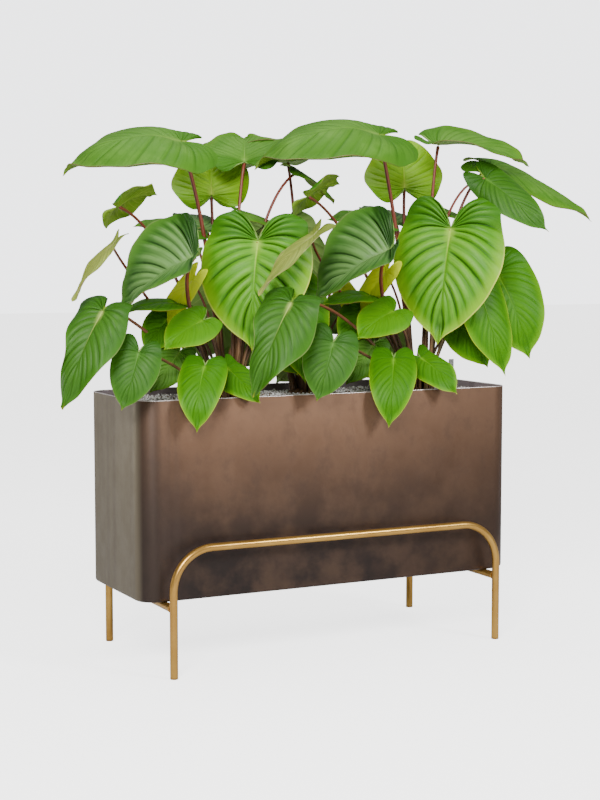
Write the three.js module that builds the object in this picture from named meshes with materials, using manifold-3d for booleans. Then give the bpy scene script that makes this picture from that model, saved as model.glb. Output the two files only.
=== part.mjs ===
// A long rounded planter on a low tube stand, filled with growing granules and planted with
// three homalomena plants. Millimetres. X runs along the planter, Y from front to back and
// Z up from the floor. Every plant is one clump of leaf stalks with heart shaped blades.
import * as THREE from "three";
import { mergeVertices } from "three/addons/utils/BufferGeometryUtils.js";
import Module from "manifold-3d";

const wasm = await Module();
wasm.setup();

// Driving dimensions
const planter = {
  length: 860,
  width: 300,
  height: 400,
  bottom: 147, // height of its underside over the floor
  cornerRadius: 42,
  wall: 4,
  floorThickness: 5,
  lowerEdge: 7, // rounding between the walls and the underside
  padStarts: [-318, 100], // the two shallow pads under it, along X
  padLength: 190,
  padWidth: 250,
  padHeight: 3,
};
const granules = { top: 529, bump: 2, cell: 60, seat: 0.4 };
const stand = {
  legSpacing: 752, // along X, between the tube centres
  archSpacing: 362, // along Y, between the two arches
  tube: 16,
  barHeight: 255.5, // centre of the straight bar over the floor
  bendRadius: 84,
  footChamfer: 1.2,
  gap: 0.3,
};
const gauge = { x: 392, y: 30, stick: [12, 3], rise: 62, depth: 90, tube: 9, cap: 14 };
const crown = { radius: 42, depth: 55, rise: 12, sides: 10, holeGap: 0.35 };
const stalk = {
  thinnest: 1.4, // radius of a stalk under a blade of no width
  perWidth: 0.009, // and what each millimetre of the blade's width adds
  taper: 1.45,
  sides: 4,
  steps: 5,
  sink: 16,
  spread: [10, 27], // how far from the clump's middle the stalks start
  rise: 30,
  gap: 0.7, // under a blade of its own, and for each millimetre of the stalk's radius
  gapPerRadius: 0.25, // what the blade bends down beside the joint
};
const blade = {
  thickness: 0.9,
  pleat: 0.008, // height of the pleats between the ribs, as a share of the width
  wave: 0.014, // and of the margin's waves
  waves: 3,
  lobeReach: 0.24,
};

// One half of a heart shaped blade, from the notch round the lobe to the tip.
// The first number is a share of the length, the second a share of the half width.
const halfOutline = [
  [-0.04, 0.03],
  [-0.17, 0.14],
  [-0.24, 0.4],
  [-0.2, 0.74],
  [-0.05, 0.96],
  [0.16, 1],
  [0.38, 0.93],
  [0.6, 0.72],
  [0.79, 0.42],
  [0.92, 0.14],
  [1, 0],
];

// The leaves of one plant, measured from the middle of its clump at the top of the granules.
// joint: where the stalk meets the blade, tip: the blade's point, width: across both halves.
// In degrees: roll raises the left half, fold is the slope of both halves beside the midrib,
// curl is their slope at the margin, bend curves the midrib down and lobes drops the lobes.
const leaves = [
  { name: "canopy_left", joint: [-122, -34, 554], tip: [-390, 15, 475], width: 230,
    roll: -28, fold: 0, curl: -25, bend: 50, lobes: 20, via: [5, 105, 390] },
  { name: "canopy_right", joint: [45, 0, 540], tip: [205, -115, 490], width: 168,
    roll: 15, fold: 18, curl: 10, bend: 30, lobes: -15 },
  { name: "drooping_upper", joint: [170, -20, 497], tip: [368, -120, 374], width: 140,
    roll: 20, fold: 10, curl: -20, bend: 22, lobes: 40, via: [30, -20, 430] },
  { name: "drooping_lower", joint: [117, -79, 464], tip: [209, -183, 350], width: 84,
    roll: 55, fold: 10, curl: -30, bend: 20, lobes: 0, via: [15, 10, 470] },
  { name: "upright_back", joint: [2, 70, 447], tip: [32, 140, 562], width: 170,
    roll: 0, fold: 14, curl: -10, bend: 15, lobes: 10, via: [0, 80, 330] },
  { name: "large_heart", joint: [41, -59, 358], tip: [-6, -85, 110], width: 242,
    roll: -16, fold: 14, curl: -22, bend: 25, lobes: 10 },
  { name: "large_left", joint: [-146, -121, 312], tip: [-256, -8, 204], width: 232,
    roll: -45, fold: 35, curl: 20, bend: 20, lobes: -20, via: [-110, 70, 240] },
  { name: "right_outer", joint: [178, -34, 262], tip: [232, -86, 73], width: 165,
    roll: 60, fold: 10, curl: -20, bend: 30, lobes: 10 },
  { name: "right_inner", joint: [100, -75, 235], tip: [145, -120, 40], width: 120,
    roll: 45, fold: 10, curl: -20, bend: 18, lobes: 10 },
  { name: "small_bright", joint: [-101, -62, 183], tip: [-193, -69, 127], width: 100,
    roll: -40, fold: 8, curl: -15, bend: 15, lobes: 10 },
  { name: "over_rim", joint: [-120, -95, 85], tip: [-160, -145, -55], width: 100,
    roll: -10, fold: 10, curl: -20, bend: 60, lobes: 20, via: [-60, -50, 50] },
  { name: "small_right", joint: [-34, -62, 82], tip: [0, -155, 10], width: 85,
    roll: 40, fold: 8, curl: -20, bend: 25, lobes: 10 },
  { name: "rim_left", joint: [-290, -145, 125], tip: [-328, -146, 7], width: 110,
    roll: -60, fold: 14, curl: -12, bend: 15, lobes: 30, via: [-150, 0, 110] },
  { name: "twisted", joint: [-393, -161, 207], tip: [-482, -171, 22], width: 126,
    roll: -40, fold: 20, curl: -30, bend: 30, lobes: 100, via: [-170, 60, 230] },
  { name: "pale_drooping", joint: [-330, -135, 340], tip: [-455, -140, 220], width: 88,
    roll: -5, fold: 10, curl: -20, bend: 20, lobes: 0, via: [-210, 175, 330] },
  { name: "behind_right", joint: [80, -20, 155], tip: [140, -60, 55], width: 110,
    roll: 50, fold: 8, curl: -15, bend: 20, lobes: 10, fused: true },
  { name: "behind_left", joint: [-60, 62, 372], tip: [-190, 72, 377], width: 100,
    roll: -25, fold: 10, curl: -15, bend: 20, lobes: 10, fused: true },
  { name: "back_dark", joint: [-15, 75, 370], tip: [-35, 195, 410], width: 120,
    roll: 0, fold: 10, curl: -15, bend: 30, lobes: 10, fused: true },
  { name: "back_right", joint: [50, 22, 405], tip: [155, -8, 350], width: 90,
    roll: 15, fold: 10, curl: -15, bend: 20, lobes: 10, fused: true },
  { name: "low_left", joint: [-115, 20, 215], tip: [-240, 0, 195], width: 85,
    roll: -15, fold: 10, curl: -15, bend: 20, lobes: 10, fused: true },
  { name: "low_behind", joint: [-130, 30, 180], tip: [-190, 10, 110], width: 80,
    roll: -50, fold: 10, curl: -15, bend: 20, lobes: 10, fused: true },
  { name: "low_pale", joint: [-115, 0, 110], tip: [-185, -5, 25], width: 80,
    roll: -60, fold: 10, curl: -15, bend: 20, lobes: 10, fused: true },
  { name: "young_upright", joint: [-80, 10, 262], tip: [-152, 50, 130], width: 72,
    roll: -45, fold: 12, curl: -10, bend: 12, lobes: 10, fused: true },
  { name: "underside_left", joint: [-310, -71, 420], tip: [-214, -30, 448], width: 120,
    roll: -38, fold: 10, curl: -20, bend: 20, lobes: 0, via: [-62, 169, 380] },
];

// The middle plant stands behind the other two, turned about, and has fewer leaves.
// instead: a leaf of one plant that stands otherwise than in the list above
const plants = [
  {
    name: "left",
    x: -192,
    y: -38,
    turn: 0,
    size: 0.95,
    without: ["drooping_lower"],
    instead: {
      canopy_left: { tip: [-365, 15, 478] },
      canopy_right: { joint: [66, 55, 521], tip: [121, 162, 584], width: 180, roll: 0, bend: 20, lobes: 30 },
      upright_back: { joint: [10, 108, 448], tip: [35, 182, 562] },
      large_heart: { joint: [47, -53, 347], tip: [21, -76, 113] },
      large_left: { joint: [-135, -128, 312], tip: [-253, -13, 200] },
      small_bright: { joint: [-89, -68, 180], tip: [-180, -74, 121] },
      drooping_upper: { joint: [179, 20, 500], tip: [275, 30, 430], width: 125 },
      right_inner: { joint: [100, -45, 235], tip: [145, -85, 40] },
      right_outer: { joint: [150, 30, 255], tip: [215, -10, 75], via: [40, 75, 180] },
      over_rim: { joint: [-105, -113, 87], tip: [-145, -163, -46], via: [-95, -60, 60] },
      small_right: { joint: [-31, -60, 78], tip: [3, -153, 8] },
      rim_left: { joint: [-264, -145, 121], tip: [-302, -146, 5], width: 100 },
      twisted: { joint: [-338, -141, 205], tip: [-428, -153, 12], width: 116, via: [-230, 130, 240] },
      pale_drooping: { joint: [-316, -142, 337], tip: [-400, -136, 224], width: 78 },
      underside_left: { joint: [-276, -68, 415], tip: [-174, -29, 442] },
    },
  },
  {
    name: "middle",
    x: 41,
    y: 70,
    turn: 180,
    size: 0.93,
    without: [
      "canopy_left",
      "large_left",
      "behind_left",
      "back_dark",
      "upright_back",
      "drooping_upper",
      "drooping_lower",
      "twisted",
      "pale_drooping",
      "underside_left",
    ],
    instead: { canopy_right: { tip: [205, -110, 494] } },
  },
  { name: "right", x: 262, y: -45, turn: 0, size: 1, without: [], instead: {} },
];

const leafGreen = new THREE.MeshStandardMaterial({ color: 0x4f8f2e, roughness: 0.45 });
const stalkBrown = new THREE.MeshStandardMaterial({ color: 0x6b3320, roughness: 0.5 });
const bronze = new THREE.MeshStandardMaterial({ color: 0x7a5f4c, roughness: 0.5, metalness: 0.3 });
const gold = new THREE.MeshStandardMaterial({ color: 0xb08a45, roughness: 0.35, metalness: 0.8 });
const pumice = new THREE.MeshStandardMaterial({ color: 0xc9c2bd, roughness: 0.95 });
const paleGrey = new THREE.MeshStandardMaterial({ color: 0xd8dadb, roughness: 0.35 });

const up = new THREE.Vector3(0, 0, 1);
const radians = THREE.MathUtils.degToRad;

// Solids: a mesh's shared corners are merged, and two solids are joined or one is cut.
function toSolid(geometry) {
  const bare = new THREE.BufferGeometry().setAttribute("position", geometry.getAttribute("position"));
  bare.setIndex(geometry.index);
  const merged = mergeVertices(bare, 1e-3);
  const triVerts = new Uint32Array(merged.index.array);
  const vertProperties = new Float32Array(merged.attributes.position.array);
  return new wasm.Manifold(new wasm.Mesh({ numProp: 3, vertProperties, triVerts }));
}

function toGeometry(solid) {
  const mesh = solid.getMesh();
  const geometry = new THREE.BufferGeometry();
  geometry.setAttribute("position", new THREE.BufferAttribute(new Float32Array(mesh.vertProperties), 3));
  geometry.setIndex(new THREE.BufferAttribute(new Uint32Array(mesh.triVerts), 1));
  geometry.computeVertexNormals();
  return geometry;
}

function fromFaces(points, faces) {
  const geometry = new THREE.BufferGeometry();
  geometry.setAttribute("position", new THREE.Float32BufferAttribute(points.flatMap((p) => p.toArray()), 3));
  geometry.setIndex(faces.flat());
  geometry.computeVertexNormals();
  return geometry;
}

function piece(name, geometry, material) {
  const mesh = new THREE.Mesh(geometry, material);
  mesh.name = name;
  return mesh;
}

// Rings of points, all alike in number, joined into one closed skin with flat ends
function skinRings(rings) {
  const count = rings[0].length;
  const points = rings.flat();
  const faces = [];
  for (let r = 0; r + 1 < rings.length; r += 1) {
    for (let i = 0; i < count; i += 1) {
      const a = r * count + i;
      const b = r * count + ((i + 1) % count);
      faces.push([a, b, b + count], [a, b + count, a + count]);
    }
  }
  const last = (rings.length - 1) * count;
  for (let i = 1; i + 1 < count; i += 1) {
    faces.push([0, i + 1, i], [last, last + i, last + i + 1]);
  }
  return fromFaces(points, faces);
}

// A round tube through a list of points, with a radius for each. Its end can face another way.
function tube(points, radii, sides, endFacing) {
  let across = new THREE.Vector3(1, 0, 0);
  const rings = points.map((point, i) => {
    const before = points[Math.max(i - 1, 0)];
    const after = points[Math.min(i + 1, points.length - 1)];
    const along = after.clone().sub(before).normalize();
    if (i === 0 && Math.abs(along.x) > 0.9) {
      across = new THREE.Vector3(0, 1, 0);
    }
    across = across.clone().addScaledVector(along, -across.dot(along)).normalize();
    let beside = along.clone().cross(across);
    if (endFacing && i === points.length - 1) {
      if (Math.abs(across.dot(endFacing)) < Math.abs(beside.dot(endFacing))) {
        across.addScaledVector(endFacing, -across.dot(endFacing)).normalize();
        beside = endFacing.clone().cross(across);
      } else {
        beside.addScaledVector(endFacing, -beside.dot(endFacing)).normalize();
        across = beside.clone().cross(endFacing);
      }
    }
    return Array.from({ length: sides }, (_, k) => {
      const angle = (2 * Math.PI * k) / sides;
      return point
        .clone()
        .addScaledVector(across, radii[i] * Math.cos(angle))
        .addScaledVector(beside, radii[i] * Math.sin(angle));
    });
  });
  return skinRings(rings);
}

// The planter's plan: a rectangle with round corners, drawn in from its outside by an inset
function planRing(inset, z) {
  const radius = planter.cornerRadius - inset;
  const cornerX = planter.length / 2 - planter.cornerRadius;
  const cornerY = planter.width / 2 - planter.cornerRadius;
  const steps = 6;
  const ring = [];
  [[1, 1], [-1, 1], [-1, -1], [1, -1]].forEach(([sx, sy], corner) => {
    for (let i = 0; i <= steps; i += 1) {
      const angle = (Math.PI / 2) * (corner + i / steps);
      ring.push(new THREE.Vector3(
        sx * cornerX + radius * Math.cos(angle),
        sy * cornerY + radius * Math.sin(angle),
        z,
      ));
    }
  });
  return ring;
}

function planterShell() {
  const { bottom, height, lowerEdge, wall, floorThickness } = planter;
  const top = bottom + height;
  const roundSteps = 3;
  const rings = [];
  for (let i = 0; i <= roundSteps; i += 1) {
    const angle = (Math.PI / 2) * (i / roundSteps);
    rings.push(planRing(lowerEdge * (1 - Math.sin(angle)), bottom + lowerEdge * (1 - Math.cos(angle))));
  }
  rings.push(planRing(0, top));
  rings.push(planRing(wall, top));
  rings.push(planRing(wall, bottom + floorThickness));
  let shell = toSolid(skinRings(rings));
  for (const start of planter.padStarts) {
    const sunk = 1;
    const pad = new THREE.BoxGeometry(planter.padLength, planter.padWidth, planter.padHeight + sunk);
    pad.translate(start + planter.padLength / 2, 0, bottom - planter.padHeight / 2 + sunk / 2);
    shell = shell.add(toSolid(pad));
  }
  return toGeometry(shell);
}

// The granules fill the planter. Their top is gently bumpy by a formula.
function granuleFill(holes) {
  const seat = planter.wall + granules.seat;
  const low = planter.bottom + planter.floorThickness + granules.seat;
  const block = toSolid(skinRings([planRing(seat, low), planRing(seat, granules.top + 20)]));
  const countX = Math.round(planter.length / granules.cell) + 1;
  const countY = Math.round(planter.width / granules.cell) + 1;
  const height = (x, y) =>
    granules.bump * (Math.sin(x / 19 + 2 * Math.sin(y / 31)) + Math.cos(y / 23 + x / 47)) * 0.5;
  const above = new THREE.BoxGeometry(
    countX * granules.cell, countY * granules.cell, 60, countX, countY, 1);
  above.translate(0, 0, granules.top + 30);
  const position = above.getAttribute("position");
  for (let i = 0; i < position.count; i += 1) {
    if (position.getZ(i) < granules.top + 1) {
      position.setZ(i, granules.top + height(position.getX(i), position.getY(i)));
    }
  }
  above.deleteAttribute("normal");
  above.deleteAttribute("uv");
  let fill = block.subtract(toSolid(above));
  for (const hole of holes) {
    fill = fill.subtract(toSolid(hole));
  }
  return toGeometry(fill);
}

// The stand: an arch of round tube in front, one behind, and a bar under each end of the planter
function arch(y) {
  const { legSpacing, tube: diameter, barHeight, bendRadius, footChamfer } = stand;
  const bendSteps = 6;
  const points = [[-legSpacing / 2, 0], [-legSpacing / 2, footChamfer]];
  for (let i = 0; i <= bendSteps; i += 1) {
    const angle = (Math.PI / 2) * (i / bendSteps);
    points.push([
      -legSpacing / 2 + bendRadius * (1 - Math.cos(angle)),
      barHeight - bendRadius * (1 - Math.sin(angle)),
    ]);
  }
  const mirrored = points.map(([x, z]) => [-x, z]).reverse();
  const path = [...points, ...mirrored].map(([x, z]) => new THREE.Vector3(x, y, z));
  const radii = path.map((_, i) =>
    i === 0 || i === path.length - 1 ? diameter / 2 - footChamfer : diameter / 2);
  return tube(path, radii, 10);
}

function crossbar(x) {
  const reach = stand.archSpacing / 2 - stand.tube / 2 - stand.gap;
  const z = planter.bottom - stand.gap - stand.tube / 2;
  const ends = [new THREE.Vector3(x, -reach, z), new THREE.Vector3(x, reach, z)];
  return tube(ends, [stand.tube / 2, stand.tube / 2], 12);
}

// The water gauge: a tube sunk in the granules with a cap, and a flat stick that stands out of it
function waterGauge() {
  const profile = [
    [0, -gauge.depth],
    [gauge.tube, -gauge.depth],
    [gauge.tube, -2],
    [gauge.cap, 0],
    [gauge.cap, 5],
    [gauge.tube * 0.6, 9],
    [0, 9],
  ].map(([r, z]) => new THREE.Vector2(r, z));
  const body = new THREE.LatheGeometry(profile, 12);
  body.rotateX(Math.PI / 2);
  const stick = new THREE.BoxGeometry(gauge.stick[0], gauge.stick[1], gauge.rise);
  stick.translate(0, 0, gauge.rise / 2 + 2);
  const whole = toGeometry(toSolid(body).add(toSolid(stick)));
  whole.translate(gauge.x, gauge.y, granules.top + 3);
  return whole;
}

// A blade's frame and its bent, folded surface: length and side in the leaf's plane go to space
function bladeShape(leaf) {
  const joint = new THREE.Vector3(...leaf.joint);
  const chord = new THREE.Vector3(...leaf.tip).sub(joint);
  const half = radians(leaf.bend) / 2;
  const length = (chord.length() * half) / Math.sin(half);
  const forward = chord.clone().normalize();
  const level = up.clone().addScaledVector(forward, -up.dot(forward)).normalize();
  const left = level.clone().cross(forward);
  const roll = radians(leaf.roll);
  const side = left.clone().multiplyScalar(Math.cos(roll)).addScaledVector(level, Math.sin(roll));
  const normal = level.clone().multiplyScalar(Math.cos(roll)).addScaledVector(left, -Math.sin(roll));
  const slope = radians(leaf.fold);
  const sideTurn = (radians(leaf.curl) - slope) / (leaf.width / 2);
  const lobeTurn = radians(leaf.lobes) / (blade.lobeReach * length);
  const surface = (u, v, lift) => {
    const turn = u < 0 ? lobeTurn || 1e-6 : (2 * half) / length;
    const angle = half - turn * u;
    const along = (Math.sin(half) - Math.sin(angle)) / turn;
    const rise = (Math.cos(angle) - Math.cos(half)) / turn;
    const out = slope + sideTurn * Math.abs(v);
    const across = (Math.sign(v) * (Math.sin(out) - Math.sin(slope))) / sideTurn;
    const high = (Math.cos(slope) - Math.cos(out)) / sideTurn + lift;
    return joint
      .clone()
      .addScaledVector(forward, along - high * Math.sin(angle))
      .addScaledVector(normal, rise + high * Math.cos(angle))
      .addScaledVector(side, across);
  };
  return { joint, length, normal, forward, half, surface };
}

// The blade is a fan of ribs about the joint in the lobes and along the midrib after them.
// Both faces are split into triangles alike.
function leafBlade(leaf, rows, columns) {
  const shape = bladeShape(leaf);
  const outline = new THREE.SplineCurve(halfOutline.map(([u, v]) => new THREE.Vector2(u, v)));
  const fanEnd = 0.4;
  const ribBow = 0.15;
  const step = 0.5;
  const points = [];
  const under = [];
  const known = new Map();
  const vertex = (row, column, sign) => {
    const s = row / rows;
    const t = column / columns;
    const atTip = row === rows;
    const onRib = column === 0;
    const key = atTip ? "tip" : onRib ? (s <= fanEnd ? "joint" : "rib" + row) : [row, column, sign].join();
    if (known.has(key)) {
      return known.get(key);
    }
    const root = s <= fanEnd ? 0 : ((s - fanEnd) / (1 - fanEnd)) ** 1.6;
    const margin = outline.getPoint(s);
    const du = (margin.x - root) * shape.length;
    const dv = (margin.y * leaf.width) / 2;
    const bow = 2 * ribBow * t * (1 - t);
    const u = root * shape.length + du * t - dv * bow;
    const v = sign * Math.max(dv * t + du * bow, 0);
    const swell = onRib || atTip ? 0 : t < 1 ? 1 : 0.3;
    const wave = blade.wave * t ** 3 * Math.sin(2 * Math.PI * blade.waves * s + sign);
    const pleat = swell * blade.pleat * (row % 2 ? 1 : -1);
    const lift = leaf.width * (pleat + (atTip ? 0 : wave));
    const point = shape.surface(u, v, lift);
    const a = shape.surface(u + step, v, 0).sub(shape.surface(u - step, v, 0));
    const side = onRib || atTip ? 0 : sign * Math.max(Math.abs(v), step);
    const b = shape.surface(u, side + step * 0.9, 0).sub(shape.surface(u, side - step * 0.9, 0));
    const facing = a.cross(b).normalize();
    points.push(point);
    under.push(point.clone().addScaledVector(facing, -blade.thickness));
    known.set(key, points.length - 1);
    return points.length - 1;
  };
  const faces = [];
  const addFace = (a, b, c) => {
    if (a !== b && b !== c && c !== a) {
      faces.push([a, b, c]);
    }
  };
  for (const sign of [1, -1]) {
    for (let row = 0; row < rows; row += 1) {
      for (let column = 0; column < columns; column += 1) {
        const corners = [
          vertex(row, column, sign),
          vertex(row, column + 1, sign),
          vertex(row + 1, column + 1, sign),
          vertex(row + 1, column, sign),
        ];
        const [a, b, c, d] = sign > 0 ? [...corners].reverse() : corners;
        if (sign > 0) {
          addFace(a, b, d);
          addFace(b, c, d);
        } else {
          addFace(a, b, c);
          addFace(a, c, d);
        }
      }
    }
  }
  const edges = new Map();
  faces.forEach(([a, b, c]) => {
    [[a, b], [b, c], [c, a]].forEach(([p, q]) => {
      if (!edges.delete(q + "," + p)) {
        edges.set(p + "," + q, [p, q]);
      }
    });
  });
  const count = points.length;
  const all = [...faces, ...faces.map(([a, b, c]) => [c + count, b + count, a + count])];
  edges.forEach(([p, q]) => all.push([p, p + count, q + count], [p, q + count, q]));
  return fromFaces([...points, ...under], all);
}

// A leaf stalk rises out of the clump and arches over to the underside of its blade
function leafStalk(leaf, order) {
  const { joint, normal, forward, half } = bladeShape(leaf);
  const reach = Math.hypot(joint.x, joint.y);
  const rooted = THREE.MathUtils.lerp(...stalk.spread, (order % 3) / 2) / reach;
  const root = new THREE.Vector3(joint.x * rooted, joint.y * rooted, -stalk.sink);
  const via = leaf.via
    ? new THREE.Vector3(...leaf.via)
    : new THREE.Vector3(joint.x * 0.3, joint.y * 0.3, joint.z * 0.7);
  const atJoint = normal.clone().multiplyScalar(Math.cos(half)).addScaledVector(forward, -Math.sin(half));
  const thin = stalk.thinnest + stalk.perWidth * leaf.width;
  const clear = stalk.gap + stalk.gapPerRadius * thin;
  const below = leaf.fused ? blade.thickness / 2 : blade.thickness + clear;
  const end = joint.clone().addScaledVector(atJoint, -below);
  const upright = root.clone().addScaledVector(up, stalk.rise);
  const points = new THREE.CubicBezierCurve3(root, upright, via, end).getPoints(stalk.steps);
  const radii = points.map((_, i) => THREE.MathUtils.lerp(thin * stalk.taper, thin, i / stalk.steps));
  return tube(points, radii, stalk.sides, atJoint);
}

function clump(list) {
  const profile = [
    [0, -crown.depth],
    [crown.radius * 0.7, -crown.depth],
    [crown.radius * 0.97, -crown.depth / 2],
    [crown.radius, 0],
    [crown.radius * 0.8, crown.rise * 0.7],
    [0, crown.rise],
  ].map(([r, z]) => new THREE.Vector2(r, z));
  const base = new THREE.LatheGeometry(profile, crown.sides);
  base.rotateX(Math.PI / 2);
  let whole = toSolid(base);
  list.forEach((leaf, order) => {
    whole = whole.add(toSolid(leafStalk(leaf, order)));
    if (leaf.fused) {
      whole = whole.add(toSolid(leafBlade(leaf, 6, 1)));
    }
  });
  return toGeometry(whole);
}

function sized(leaf, size) {
  const grow = (place) => place.map((value) => value * size);
  return {
    ...leaf,
    joint: grow(leaf.joint),
    tip: grow(leaf.tip),
    width: leaf.width * size,
    via: leaf.via && grow(leaf.via),
  };
}

function plantGroup(plant) {
  const group = new THREE.Group();
  const own = leaves
    .filter((leaf) => !plant.without.includes(leaf.name))
    .map((leaf) => sized({ ...leaf, ...plant.instead[leaf.name] }, plant.size));
  group.add(piece(plant.name + "_plant_stalks", clump(own), stalkBrown));
  for (const leaf of own.filter((each) => !each.fused)) {
    group.add(piece(plant.name + "_leaf_" + leaf.name, leafBlade(leaf, 10, 2), leafGreen));
  }
  group.position.set(plant.x, plant.y, granules.top);
  group.rotation.z = radians(plant.turn);
  return group;
}

function stemHole({ x, y }) {
  const radius = crown.radius + crown.holeGap;
  const hole = new THREE.CylinderGeometry(radius, radius, 120, crown.sides);
  hole.rotateX(Math.PI / 2);
  hole.translate(x, y, granules.top - crown.depth - crown.holeGap + 60);
  return hole;
}

function gaugeHole() {
  const radius = gauge.tube + 0.6;
  const hole = new THREE.CylinderGeometry(radius, radius, 140, 12);
  hole.rotateX(Math.PI / 2);
  hole.translate(gauge.x, gauge.y, granules.top - gauge.depth + 2 + 70);
  return hole;
}

const root = new THREE.Group();
root.add(piece("planter_shell", planterShell(), bronze));
root.add(piece("growing_granules", granuleFill([...plants.map(stemHole), gaugeHole()]), pumice));
root.add(piece("water_gauge", waterGauge(), paleGrey));
root.add(piece("stand_arch_front", arch(-stand.archSpacing / 2), gold));
root.add(piece("stand_arch_back", arch(stand.archSpacing / 2), gold));
root.add(piece("stand_crossbar_left", crossbar(-stand.legSpacing / 2), gold));
root.add(piece("stand_crossbar_right", crossbar(stand.legSpacing / 2), gold));
plants.forEach((plant) => root.add(plantGroup(plant)));

// The origin is on the floor, under the middle of the whole object
const middle = new THREE.Box3().setFromObject(root).getCenter(new THREE.Vector3());
root.position.set(-middle.x, -middle.y, 0);

export default root;
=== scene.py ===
# A potted homalomena in a long planter on a tube stand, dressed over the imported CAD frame.
# Metres, Z up from the floor, X along the planter and Y from front to back.
import math
import random

import bpy
import numpy as np
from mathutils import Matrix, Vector


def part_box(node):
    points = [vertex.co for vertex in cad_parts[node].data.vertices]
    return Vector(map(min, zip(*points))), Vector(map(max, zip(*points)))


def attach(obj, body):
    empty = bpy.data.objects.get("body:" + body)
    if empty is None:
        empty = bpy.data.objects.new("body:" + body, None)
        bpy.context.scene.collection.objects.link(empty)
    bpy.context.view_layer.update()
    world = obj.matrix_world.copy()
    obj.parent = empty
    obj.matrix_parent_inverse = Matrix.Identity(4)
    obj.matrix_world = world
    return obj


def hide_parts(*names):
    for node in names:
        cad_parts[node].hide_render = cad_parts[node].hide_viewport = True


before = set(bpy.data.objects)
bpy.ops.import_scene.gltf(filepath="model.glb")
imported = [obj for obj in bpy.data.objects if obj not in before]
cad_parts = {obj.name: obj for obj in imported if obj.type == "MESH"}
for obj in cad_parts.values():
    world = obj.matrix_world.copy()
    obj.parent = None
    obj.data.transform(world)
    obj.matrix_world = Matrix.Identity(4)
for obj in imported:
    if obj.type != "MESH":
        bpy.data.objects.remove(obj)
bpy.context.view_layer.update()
shellLow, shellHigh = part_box("planter_shell")
middleX = (shellLow.x + shellHigh.x) / 2
middleY = (shellLow.y + shellHigh.y) / 2
print("frame loaded")


# The shader nodes: values are given by the name or number of a socket, and a socket can be given
# in place of a value. A node goes into the tree of the socket that feeds it.
def addNode(tree, kind, inputs=None, **settings):
    made = tree.nodes.new(kind)
    for name, value in settings.items():
        setattr(made, name, value)
    for name, value in (inputs or {}).items():
        feed(made.inputs[name], value)
    return made


def feed(socket, value):
    if isinstance(value, bpy.types.NodeSocket):
        socket.id_data.links.new(value, socket)
    elif isinstance(value, tuple) and len(value) == 3 and socket.type == "RGBA":
        socket.default_value = (*value, 1)
    else:
        socket.default_value = value


def calc(operation, *values):
    tree = next(value.id_data for value in values if isinstance(value, bpy.types.NodeSocket))
    return addNode(tree, "ShaderNodeMath", dict(enumerate(values)), operation=operation).outputs[0]


def times(first, *others):
    for other in others:
        first = calc("MULTIPLY", first, other)
    return first


# A share of a value on top of a base
def plus(base, value, share=1.0):
    return calc("MULTIPLY_ADD", value, share, base)


# Lays colours over a base colour, each as far as its shares, multiplied, say
def layered(colour, *layers):
    for over, *shares in layers:
        share = times(*shares)
        inputs = {0: share, 6: colour, 7: over}
        colour = addNode(share.id_data, "ShaderNodeMix", inputs, data_type="RGBA").outputs[2]
    return colour


def ramp(value, low, high, newLow=0.0, newHigh=1.0):
    limits = {"Value": value, "From Min": low, "From Max": high, "To Min": newLow, "To Max": newHigh}
    made = addNode(value.id_data, "ShaderNodeMapRange", limits, interpolation_type="SMOOTHSTEP")
    return made.outputs["Result"]


# Noise of one scale, or of a scale along each axis
def noise(place, scale, detail=3.0, roughness=0.5):
    if isinstance(scale, tuple):
        stretched = addNode(place.id_data, "ShaderNodeMapping", {"Vector": place, "Scale": scale})
        place, scale = stretched.outputs["Vector"], 1.0
    inputs = {"Vector": place, "Scale": scale, "Detail": detail, "Roughness": roughness}
    return addNode(place.id_data, "ShaderNodeTexNoise", inputs).outputs["Fac"]


def axis(place, name):
    return addNode(place.id_data, "ShaderNodeSeparateXYZ", {"Vector": place}).outputs[name]


def objectPlace(tree):
    return addNode(tree, "ShaderNodeTexCoord").outputs["Object"]


def mapPlace(tree, uvMap):
    return addNode(tree, "ShaderNodeUVMap", uv_map=uvMap).outputs["UV"]


def startMaterial(name, **values):
    made = bpy.data.materials.new(name)
    made.use_nodes = True
    for socket, value in values.items():
        feed(made.node_tree.nodes["Principled BSDF"].inputs[socket.replace("_", " ")], value)
    return made, made.node_tree


def paint(material, colour, rough, height=None, strength=0.0, distance=0.0):
    shader = material.node_tree.nodes["Principled BSDF"]
    feed(shader.inputs["Base Color"], colour)
    feed(shader.inputs["Roughness"], rough)
    if height is not None:
        inputs = {"Height": height, "Strength": strength, "Distance": distance}
        feed(shader.inputs["Normal"], addNode(shader.id_data, "ShaderNodeBump", inputs).outputs["Normal"])
    return material


# Inputs are kinds by name, and every output is a plain number
def startGroup(name, inputs, outputs):
    made = bpy.data.node_groups.new(name, "ShaderNodeTree")
    for socket, kind in inputs.items():
        made.interface.new_socket(socket, in_out="INPUT", socket_type="NodeSocket" + kind)
    for socket in outputs:
        made.interface.new_socket(socket, in_out="OUTPUT", socket_type="NodeSocketFloat")
    return made, made.nodes.new("NodeGroupInput").outputs, made.nodes.new("NodeGroupOutput").inputs


def useGroup(tree, group, **inputs):
    made = tree.nodes.new("ShaderNodeGroup")
    made.node_tree = group
    for name, value in inputs.items():
        feed(made.inputs[name.replace("_", " ")], value)
    return made.outputs


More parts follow.
